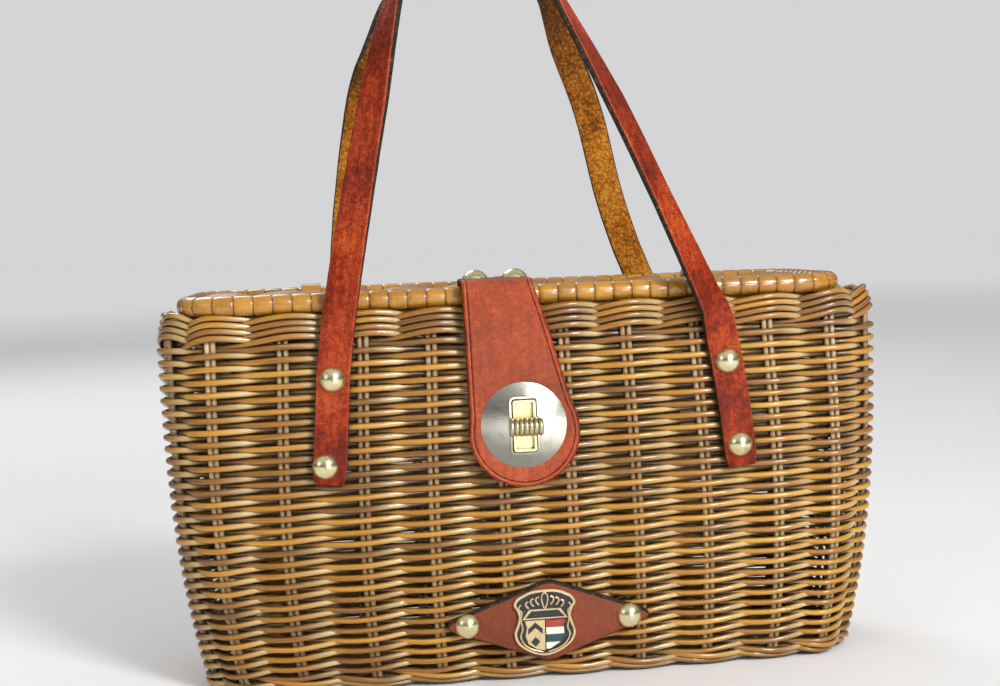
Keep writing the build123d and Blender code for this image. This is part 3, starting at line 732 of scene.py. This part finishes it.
def leatherSheet(outline, thickness, crease, cuts, hole=None):
    bm = bmesh.new()
    face = bm.faces.new([bm.verts.new((x, y, 0)) for x, y in outline])
    face.normal_update()
    if face.normal.z < 0:
        face.normal_flip()
    lines = bm.verts.layers.float.new("crease")
    # each ring's width, its height, and how dark or pale it is; the dark crease is partly its own tooled
    # colour and partly painted shade, the pale rims and ridges are a painted highlight
    insets = [(0.00045 if crease else 0.0008, 0.0, -0.35)]
    if crease:
        insets += [(crease - 0.0014, 0.0, 0), (0.00035, 0.00012, -0.7)]
        insets += [(0.0003, -0.00030, 1), (0.0003, 0.0, 0)]
    for inset, lift, dark in insets:
        before = set(bm.verts)
        bmesh.ops.inset_region(bm, faces=[face], thickness=inset, use_even_offset=True, use_boundary=True)
        for vert in set(bm.verts) - before:
            vert.co.z = lift
            vert[lines] = dark
    for vert in bm.verts:
        if vert.is_boundary:
            vert.co.z = -0.00045
    for point, normal in cuts:
        everything = bm.verts[:] + bm.edges[:] + bm.faces[:]
        bmesh.ops.bisect_plane(bm, geom=everything, plane_co=point, plane_no=normal, dist=1e-6)
    if hole:
        low, high = hole
        middles = [(f, f.calc_center_median()) for f in bm.faces]
        doomed = [f for f, m in middles if low[0] < m.x < high[0] and low[1] < m.y < high[1]]
        bmesh.ops.delete(bm, geom=doomed, context="FACES")
    copied = bmesh.ops.duplicate(bm, geom=bm.verts[:] + bm.edges[:] + bm.faces[:])
    under = [f for f in copied["geom"] if isinstance(f, bmesh.types.BMFace)]
    for vert in {v for f in under for v in f.verts}:
        vert.co.z = -thickness
        vert[lines] = 0
    bmesh.ops.reverse_faces(bm, faces=under)
    for f in under:
        f.material_index = 2
    outer = {e for e in bm.edges if e.is_boundary}
    inner = set()
    if hole:   # the slot's two rims are joined apart from the outer ones
        slack = 1e-5
        inner = {e for e in outer if all(low[0] - slack < v.co.x < high[0] + slack
                                         and low[1] - slack < v.co.y < high[1] + slack for v in e.verts)}
    for rims in (outer - inner, inner):
        if rims:
            sides = bmesh.ops.bridge_loops(bm, edges=[e for e in bm.edges if e in rims])
            for f in sides["faces"]:
                f.material_index = 1
    return bm


def tabOutline():
    right = []
    along = -tab["reach"]
    while along < tab["length"] - 1e-6:
        right.append((tabHalf(along), along))
        near = min(abs(along - tab["length"]), abs(along + tab["reach"]))
        along += 0.0004 if near < 0.003 else 0.0008 if near < 0.008 else 0.002
    right = [(x, -y) for x, y in right if x > 1e-5]
    return right + [(0.0, -tab["length"])] + [(-x, y) for x, y in reversed(right)]


def hangTab(bm):  # wraps the flat tab over the lid's edge
    radius = tab["fold"]
    quarter = radius * math.pi / 2
    start = -quarter * 0.5
    centre = Vector((0, foldDepth + radius, foldHeight - radius))
    for vert in bm.verts:
        across, along, height = vert.co.x, -vert.co.y, vert.co.z
        if along <= start:   # lies on the lid
            place = Vector((0, foldDepth + radius + start - along,
                            foldHeight + tab["thickness"] / 2 + height))
            down = 0.0
        else:
            tilt = min((along - start) / radius, math.pi / 2)
            drop = max(along - start - quarter, 0.0)
            reach = radius + tab["thickness"] / 2 + height
            place = centre + Vector((0, -math.sin(tilt) * reach, math.cos(tilt) * reach - drop))
            down = max(along, 0.0)
        hang = smooth(0.0, tab["turnsBy"], down)
        sheared = tab["x"] + across + down * math.tan(tabLean)
        turned = tab["x"] + across * math.cos(tabLean) + down * math.sin(tabLean)
        place.x = sheared + (turned - sheared) * hang
        place.z += hang * (across * math.sin(tabLean) + down * (1 - math.cos(tabLean)))
        bowed = min(max((down - tab["bowed"][0]) / tab["bowed"][1], 0), 1)
        place.y -= tab["bow"] * math.sin(bowed * math.pi)
        vert.co = place


lockDown = (foldHeight - lockSpot[1]) / math.cos(tabLean)
slotX, slotY = tab["slotHalf"]
levels = [-0.0008 * step for step in range(-5, 9)] + [-0.010 - 0.004 * step for step in range(17)]
levels += [0.008 + 0.004 * step for step in range(4)] + [-lockDown - slotY, -lockDown + slotY]
tabCuts = [((0, level, 0), (0, 1, 0)) for level in levels]
tabCuts += [((side * slotX, 0, 0), (1, 0, 0)) for side in (-1, 1)]
tabBody = leatherSheet(tabOutline(), tab["thickness"], tab["crease"], tabCuts,
                       ((-slotX, -(lockDown + slotY)), (slotX, -(lockDown - slotY))))
hangTab(tabBody)
bmesh.ops.recalc_face_normals(tabBody, faces=tabBody.faces)
tabMesh = meshFrom("leather_tab", tabBody)
leatherSides = (finishes["leather"], finishes["cutEdge"], finishes["suede"])
leatherTab = piece("leather_tab", tabMesh, None, None, *leatherSides)
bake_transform(leatherTab)
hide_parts("tab_top", "closure_tab")
print("tab made")

strap = {
    "thick": 0.0026, "steps": 6, "gap": 0.0003,   # steps: points from one place to the next
    # x, how far out from the middle of the wall's top, height above the top, turn of the smooth side
    "front": (
        (-77.0, None, -63.0, 0), (-75.0, None, -40.5, 0), (-73.0, None, -18.5, 0), (-68.4, 1.9, 8.5, 14),
        (-61.8, 2.3, 40.5, 28), (-54.0, 2.5, 75.9, 38), (-45.4, 2.5, 110.5, 66), (-35.5, 2.5, 136.5, 90),
        (-17.0, 2.5, 148.5, 90), (1.0, 2.5, 135.0, 88), (14.6, 3.0, 110.0, 70), (33.2, 4.5, 73.8, 52),
        (50.0, 5.5, 36.9, 49), (65.3, 4.8, 2.9, 34), (69.4, 3.1, -6.0, 14), (72.2, None, -16.0, 0),
        (76.1, None, -40.5, 0), (78.8, None, -64.5, 0)),
    "rear": (
        (-78.8, None, -63.0, 0), (-76.1, None, -40.5, 0), (-73.0, None, -18.5, 0), (-68.6, 1.8, 8.5, 0),
        (-64.4, 2.2, 43.5, 0), (-57.0, 2.5, 85.5, 14), (-49.6, 2.5, 106.5, 36), (-38.5, 2.5, 131.5, 74),
        (-9.5, 2.5, 155.0, 90), (20.0, 2.5, 134.5, 74), (31.3, 2.5, 104.7, 30), (40.6, 2.5, 77.5, 10),
        (48.8, 2.2, 40.0, 4), (59.5, 1.8, 8.2, 0), (73.0, None, -18.5, 0), (76.1, None, -40.5, 0),
        (78.8, None, -64.5, 0)),
}
# the line column darkens the tooled lines above 0, partly their own colour and partly painted shade, and
# below 0 pales the rims as a painted highlight
strapSection = (  # across, height, line; the smooth side first, then the cut edge and the suede side
    (-6.1, 0.75, 0), (-5.9, 1.15, -0.25), (-5.5, 1.3, 0), (-5.1, 1.3, 0.2), (-2.35, 1.32, 0),
    (-2.0, 1.25, -0.1), (-1.65, 1.32, 0), (1.65, 1.32, 0), (2.0, 1.25, -0.1), (2.35, 1.32, 0),
    (5.1, 1.3, 0.2), (5.5, 1.3, 0), (5.9, 1.15, -0.25), (6.1, 0.75, 0), (6.15, -0.2, 0), (6.1, -1.0, 0),
    (5.7, -1.3, 0), (3.0, -1.35, 0), (0.0, -1.3, 0), (-3.0, -1.35, 0), (-5.7, -1.3, 0), (-6.1, -1.0, 0),
    (-6.15, -0.2, 0))


def strapStations(line, side):
    places = []
    for x, out, rise, _ in line:
        x, z = x / 1000, basket["height"] + rise / 1000
        if out is None:
            depth = faceDepth(x, z) + strap["gap"] + strap["thick"] / 2
        else:
            depth = basket["depth"] / 2 + out / 1000
        places.append(Vector((x, side * depth, z)))
    last = len(places) - 1
    slopes = [(places[min(i + 1, last)] - places[max(i - 1, 0)]) * (0.5 if 0 < i < last else 1.0)
              for i in range(last + 1)]
    stations = []
    for i in range(last):
        for step in range(strap["steps"] + (i == last - 1)):
            t = step / strap["steps"]
            a, b, m, n = places[i], places[i + 1], slopes[i], slopes[i + 1]
            centre = (a * (2 * t ** 3 - 3 * t ** 2 + 1) + m * (t ** 3 - 2 * t ** 2 + t)
                      + b * (3 * t ** 2 - 2 * t ** 3) + n * (t ** 3 - t ** 2))
            along = (a * (6 * t ** 2 - 6 * t) + m * (3 * t ** 2 - 4 * t + 1)
                     + b * (6 * t - 6 * t ** 2) + n * (3 * t ** 2 - 2 * t)).normalized()
            turn = math.radians(line[i][3] + (line[i + 1][3] - line[i][3]) * t)
            front = Vector((0, side, 0)) * math.cos(turn) + Vector((-along.z, 0, along.x)) * math.sin(turn)
            front = (front - along * front.dot(along)).normalized()
            stations.append((centre, along, front))
    return stations


def leatherStrap(name, line, side):
    bm = bmesh.new()
    crease = bm.verts.layers.float.new("crease")
    stations = strapStations(line, side)
    count = len(strapSection)
    ring, rings = [], []
    for index, (centre, along, front) in enumerate(stations):
        across = along.cross(front)
        if index == 0:
            ring = [bm.verts.new((*spot[:2], 0)) for spot in strapSection]
            edges = [bm.edges.new((ring[i], ring[(i + 1) % count])) for i in range(count)]
        else:
            made = bmesh.ops.extrude_edge_only(bm, edges=edges)["geom"]
            new = {v for v in made if isinstance(v, bmesh.types.BMVert)}
            ring = [next(e.other_vert(v) for e in v.link_edges if e.other_vert(v) in new) for v in ring]
            edges = [bm.edges.get((ring[i], ring[(i + 1) % count])) for i in range(count)]
        rings.append(ring)
        rough = noise.noise((index * 0.9, side * 3, 1)) * 0.00015
        for vert, (x, height, dark) in zip(ring, strapSection):
            narrow = 0.86 if index in (0, len(stations) - 1) else 1.0
            vert.co = centre + across * (x / 1000 * narrow + rough) + front * (height / 1000)
            vert[crease] = dark
    place = {vert: i % count for r in rings for i, vert in enumerate(r)}
    for face in bm.faces:
        spots = sorted({place[v] for v in face.verts})
        low = count - 1 if spots[0] == 0 and spots[-1] == count - 1 else spots[0]
        if 13 <= low <= 15 or low >= 20:
            face.material_index = 1
        elif 16 <= low <= 19:
            face.material_index = 2
    for r in (rings[0], rings[-1]):
        cap = bm.faces.new(r)
        cap.material_index = 1
    bmesh.ops.recalc_face_normals(bm, faces=bm.faces)
    return meshFrom(name, bm)


for name, line, side in (("front_handle", strap["front"], -1), ("rear_handle", strap["rear"], 1)):
    band = piece(name + "_leather", leatherStrap(name + "_leather", line, side), "basket", "strap_leather",
                 *leatherSides)
    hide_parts(name)
print("straps made")

# the patch lies on the sloping foot of the front
patch = {
    "x": 0.0027, "z": 0.0245, "halfLength": 0.0424, "halfHeight": 0.0165, "thickness": 0.0026,
    "gap": 0.0003, "tipRound": 0.003, "sideRound": 0.009,
}
patchSlope = math.atan2(faceDepth(patch["x"], patch["z"] + patch["halfHeight"])
                        - faceDepth(patch["x"], patch["z"] - patch["halfHeight"]), 2 * patch["halfHeight"])
patchDepth = faceDepth(patch["x"], patch["z"]) + patch["gap"]
patchFrame = Matrix(((1, 0, 0, patch["x"]),
                     (0, -math.sin(patchSlope), -math.cos(patchSlope), -patchDepth),
                     (0, math.cos(patchSlope), -math.sin(patchSlope), patch["z"]),
                     (0, 0, 0, 1)))


def patchOutline():
    length, height = patch["halfLength"], patch["halfHeight"]
    tip, side = patch["tipRound"], patch["sideRound"]
    corners = [(length, 0, tip), (0, height, side), (-length, 0, tip), (0, -height, side)]
    points = []
    for index, (x, y, radius) in enumerate(corners):
        here = Vector((x, y))
        before = (Vector(corners[index - 1][:2]) - here).normalized()
        after = (Vector(corners[(index + 1) % 4][:2]) - here).normalized()
        half = before.angle(after) / 2
        reach = radius / math.tan(half)
        start, end = here + before * reach, here + after * reach
        for step in range(9):
            t = step / 8
            points.append(start * (1 - t) ** 2 + here * 2 * t * (1 - t) + end * t ** 2)
    return [(p.x, p.y) for p in points]


patchBody = leatherSheet(patchOutline(), patch["thickness"], 0, [])
for part in patchBody.faces:   # the dark cut-edge finish covers the rim all along the upper side: partly the dyed edge, partly painted shade that widens it
    if part.material_index == 0 and len(part.verts) == 4 and part.calc_center_median().y > 0:
        part.material_index = 1
lie = patchFrame @ Matrix.Translation((0, 0, patch["thickness"]))
bmesh.ops.transform(patchBody, matrix=lie, verts=patchBody.verts)
bmesh.ops.recalc_face_normals(patchBody, faces=patchBody.faces)
leatherPatch = piece("patch_leather", meshFrom("patch_leather", patchBody), "basket", "strap_leather",
                     finishes["darkLeather"], finishes["cutEdge"], finishes["suede"])
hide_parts("leather_patch")
print("patch made")

badge = {
    "x": 0.0009, "halfWidth": 0.012, "halfHeight": 0.0135, "thickness": 0.0018,
    "field": 0.0010,         # height of the black ground, and of everything that stands on it below
    "raised": 0.0016, "enamel": 0.0015, "scroll": 0.00034,
}
gilt, black, cream, maroon, teal = range(5)


def slab(bm, points, low, high, material, rim=0.00012):  # a flat shape with a softened upper edge
    face = bm.faces.new([bm.verts.new((x, y, low)) for x, y in points])
    face.normal_update()
    if face.normal.z < 0:
        face.normal_flip()
    made = bmesh.ops.extrude_face_region(bm, geom=[face], use_keep_orig=True)["geom"]
    top = next(f for f in made if isinstance(f, bmesh.types.BMFace))
    bmesh.ops.translate(bm, verts=top.verts[:], vec=(0, 0, high - low))
    face.normal_flip()
    block = {f for v in top.verts for f in v.link_faces} | {face}
    for part in block:
        part.material_index = material
    top.normal_update()
    ring = bmesh.ops.inset_region(bm, faces=[top], thickness=rim, depth=0.0, use_even_offset=True)["faces"]
    for vert in {v for f in ring for v in f.verts} - set(top.verts):
        vert.co.z -= rim
    for part in ring:
        part.material_index = material
    return top


def throughPoints(points, closed, steps=8):  # a smooth line through a few points
    count = len(points)
    line = []
    for index in range(count if closed else count - 1):
        places = [index + shift for shift in (-1, 0, 1, 2)]
        near = [Vector(points[i % count if closed else min(max(i, 0), count - 1)]) for i in places]
        for step in range(steps):
            t = step / steps
            line.append(0.5 * (2 * near[1] + (near[2] - near[0]) * t
                               + (2 * near[0] - 5 * near[1] + 4 * near[2] - near[3]) * t ** 2
                               + (3 * near[1] - near[0] - 3 * near[2] + near[3]) * t ** 3))
    return line if closed else line + [Vector(points[-1])]


def wireOnBadge(bm, points, closed, radius, height):
    line = [(Vector((p.x, p.y, height)), 1.0, 0.0) for p in throughPoints(points, closed)]
    tube = reeds("badge_wire", [line], radius, closed, True, 6)
    before = len(bm.faces)
    bm.from_mesh(tube)
    bpy.data.meshes.remove(tube)
    bm.faces.ensure_lookup_table()
    for index in range(before, len(bm.faces)):
        bm.faces[index].material_index = gilt
        bm.faces[index].smooth = True


def badgeOutline():
    right = [(0, 1.0), (0.42, 0.97), (0.72, 0.86), (0.9, 0.76), (1.0, 0.58), (0.90, 0.40), (0.84, 0.2),
             (0.90, -0.02), (1.0, -0.3), (0.90, -0.58), (0.7, -0.76), (0.36, -0.93), (0, -1.0)]
    left = [(-x, y) for x, y in reversed(right[1:-1])]
    half = (badge["halfWidth"] * 0.985, badge["halfHeight"] * 0.985)
    return [(p.x * half[0], p.y * half[1]) for p in throughPoints(right + left, True, 3)]


def stampedBadge():
    bm = bmesh.new()
    ground = slab(bm, badgeOutline(), 0.0, badge["thickness"] - 0.0003, gilt, 0.0002)
    bmesh.ops.inset_region(bm, faces=[ground], thickness=0.0007, use_even_offset=True)
    bmesh.ops.inset_region(bm, faces=[ground], thickness=0.00012, depth=-0.0005, use_even_offset=True)
    ground.material_index = black
    low, high, flat = badge["field"] - 0.0002, badge["raised"], badge["enamel"]
    shieldLeft = [(-0.0077, 0.0012), (-0.0001, 0.0012), (-0.0001, -0.0112), (-0.0034, -0.0104),
                  (-0.0064, -0.0083), (-0.0076, -0.0050), (-0.0070, -0.0018)]
    slab(bm, shieldLeft, low, high, gilt)
    chevron = [(-0.0066, -0.0022), (-0.0038, 0.0004), (-0.0010, -0.0022), (-0.0010, -0.0044),
               (-0.0038, -0.0018), (-0.0066, -0.0044)]
    lozenge = [(-0.0038, -0.0054), (-0.0020, -0.0074), (-0.0038, -0.0094), (-0.0056, -0.0074)]
    for charge in (chevron, lozenge):
        slab(bm, charge, low, high + 0.00008, black, 0.00006)
    shades = ((maroon, 0.0010, -0.0018, 0.0076, 0.0071), (cream, -0.0020, -0.0048, 0.0071, 0.0073),
              (teal, -0.0050, -0.0078, 0.0073, 0.0060), (cream, -0.0080, -0.0106, 0.0058, 0.0018))
    for material, top, bottom, upper, lower in shades:
        slab(bm, [(0.0003, top), (upper, top), (lower, bottom), (0.0003, bottom)], low, flat, material)
    banner = [(-0.0088, 0.0016), (0.0088, 0.0016), (0.0060, 0.0056), (-0.0060, 0.0056)]
    slab(bm, banner, low, high, gilt)
    blank = [(x * 0.86, 0.0036 + (y - 0.0036) * 0.70) for x, y in banner]
    slab(bm, blank, low, high + 0.00006, black, 0.00004)
    loop = [(0.0, 0.0058), (0.0010, 0.0085), (0.0011, 0.0108), (0.0, 0.0122), (-0.0011, 0.0108),
            (-0.0010, 0.0085)]
    wireOnBadge(bm, loop, True, badge["scroll"], high - 0.0001)
    for side in (-1, 1):
        for x, y, size in ((0.0028, 0.0088, 1.0), (0.0048, 0.0083, 0.95), (0.0067, 0.0074, 0.85)):
            curl = [(x - 0.0006, y + 0.0018), (x + 0.0005, y + 0.0012), (x + 0.0004, y - 0.0002),
                    (x - 0.0006, y - 0.0014)]
            curl = [(side * (x + (a - x) * size), y + (b - y) * size) for a, b in curl]
            wireOnBadge(bm, curl, False, badge["scroll"] * 1.15, high - 0.0001)
        sweep = [(0.0092, 0.0078), (0.0100, 0.0062), (0.0088, 0.0046), (0.0092, 0.0016), (0.0086, -0.0020),
                 (0.0094, -0.0050), (0.0080, -0.0082), (0.0050, -0.0104), (0.0010, -0.0117)]
        wireOnBadge(bm, [(side * x, y) for x, y in sweep], False, badge["scroll"], high - 0.0001)
    place = patchFrame @ Matrix.Translation((badge["x"] - patch["x"], 0, patch["thickness"] + 0.0001))
    bmesh.ops.transform(bm, matrix=place, verts=bm.verts)
    return meshFrom("badge_relief", bm)


badgeColours = [finishes[name] for name in ("gilt", "black", "cream", "maroon", "teal")]
badgePiece = piece("badge_relief", stampedBadge(), "basket", "badge_metal", *badgeColours, smooth=False)
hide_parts("badge")
print("badge made")


# the rim, the hinges and the metal keep the model's own shapes
kept = {
    "body_rim": "rod", "hinge_loops": "tie",
    "lock_plate": "chrome", "lock_base": "brass", "lock_backing": "brass", "turn_knob": "knob",
}
for place in ("front_handle", "rear_handle", "tab", "patch"):
    kept[place + "_rivets"] = "rivet"
    kept[place + "_washers"] = "rivet"
for name, finish in kept.items():
    mesh = nodes[name].data
    mesh.materials.clear()
    mesh.materials.append(finishes[finish])
print("metal finished")


studio = {
    "key": 25.0, "card": 5.0, "fill": 3.0, "back": 10.0, "target": (0, 0, 0.09),
    "sky": 0.60, "floorRadius": 30.0,
    "horizon": 0.14, "zenith": 1.0,      # brightness of the sky that lights and is reflected
    "glow": 0.27, "backdrop": 1.105,     # the far floor and what shows behind it
}
floor = bmesh.new()
bmesh.ops.create_circle(floor, cap_ends=True, segments=96, radius=studio["floorRadius"])
floorPiece = piece("floor", meshFrom("floor", floor), None, None, floorFinish(studio["glow"]))


def softLight(name, place, size):  # every light looks at the middle of the basket
    light = bpy.data.lights.new(name, "AREA")
    light.shape = "DISK"
    light.size, light.energy = size, studio[name]
    holder = bpy.data.objects.new(name, light)
    bpy.context.scene.collection.objects.link(holder)
    holder.location = place
    holder.rotation_euler = (Vector(studio["target"]) - Vector(place)).to_track_quat("-Z", "Y").to_euler()


softLight("key", (0.66, -1.30, 0.92), 0.42)
softLight("card", (0.50, -1.52, 0.30), 0.42)
softLight("fill", (-1.5, -1.0, 0.8), 1.0)
softLight("back", (-0.5, 1.4, 1.3), 0.9)
world = bpy.data.worlds.new("studio")
bpy.context.scene.world = world
world.use_nodes = True
worldNodes, worldLinks = world.node_tree.nodes, world.node_tree.links
sky = worldNodes["Background"]
sky.inputs["Strength"].default_value = studio["sky"]
direction = worldNodes.new("ShaderNodeTexCoord")
parts = worldNodes.new("ShaderNodeSeparateXYZ")
climb = worldNodes.new("ShaderNodeMapRange")
climb.interpolation_type = "SMOOTHSTEP"
climbRange = {"From Min": 0.0, "From Max": 0.85, "To Min": studio["horizon"], "To Max": studio["zenith"]}
for socket, value in climbRange.items():
    climb.inputs[socket].default_value = value
ray = worldNodes.new("ShaderNodeLightPath")
seen = worldNodes.new("ShaderNodeMix")
seen.data_type = "FLOAT"
seen.inputs["B"].default_value = studio["backdrop"]
worldLinks.new(direction.outputs["Generated"], parts.inputs[0])
worldLinks.new(parts.outputs["Z"], climb.inputs["Value"])
worldLinks.new(climb.outputs["Result"], seen.inputs["A"])
worldLinks.new(ray.outputs["Is Camera Ray"], seen.inputs["Factor"])
worldLinks.new(seen.outputs["Result"], sky.inputs["Color"])
bpy.context.scene.view_settings.view_transform = "Standard"

lens = {
    "place": (-0.06613, -0.6376, 0.16884), "yaw": 0.137, "pitch": -0.112, "roll": -0.037,
    "sensor": 36, "length": 57.2, "shift": (-0.0737, 0.0730),
}
camera = bpy.data.cameras.new("camera")
camera.sensor_width = lens["sensor"]
camera.lens = lens["length"]
camera.shift_x, camera.shift_y = lens["shift"]
camera.clip_start, camera.clip_end = 0.01, 100
holder = bpy.data.objects.new("camera", camera)
bpy.context.scene.collection.objects.link(holder)
yaw, pitch, roll = lens["yaw"], lens["pitch"], lens["roll"]
ahead = Vector((math.sin(yaw) * math.cos(pitch), math.cos(yaw) * math.cos(pitch), math.sin(pitch)))
level = Vector((math.cos(yaw), -math.sin(yaw), 0))
raised = level.cross(ahead)
right = level * math.cos(roll) + raised * math.sin(roll)
up = raised * math.cos(roll) - level * math.sin(roll)
holder.matrix_world = Matrix(((right.x, up.x, -ahead.x, lens["place"][0]),
                              (right.y, up.y, -ahead.y, lens["place"][1]),
                              (right.z, up.z, -ahead.z, lens["place"][2]),
                              (0, 0, 0, 1)))
bpy.context.scene.camera = holder
print("studio lit")
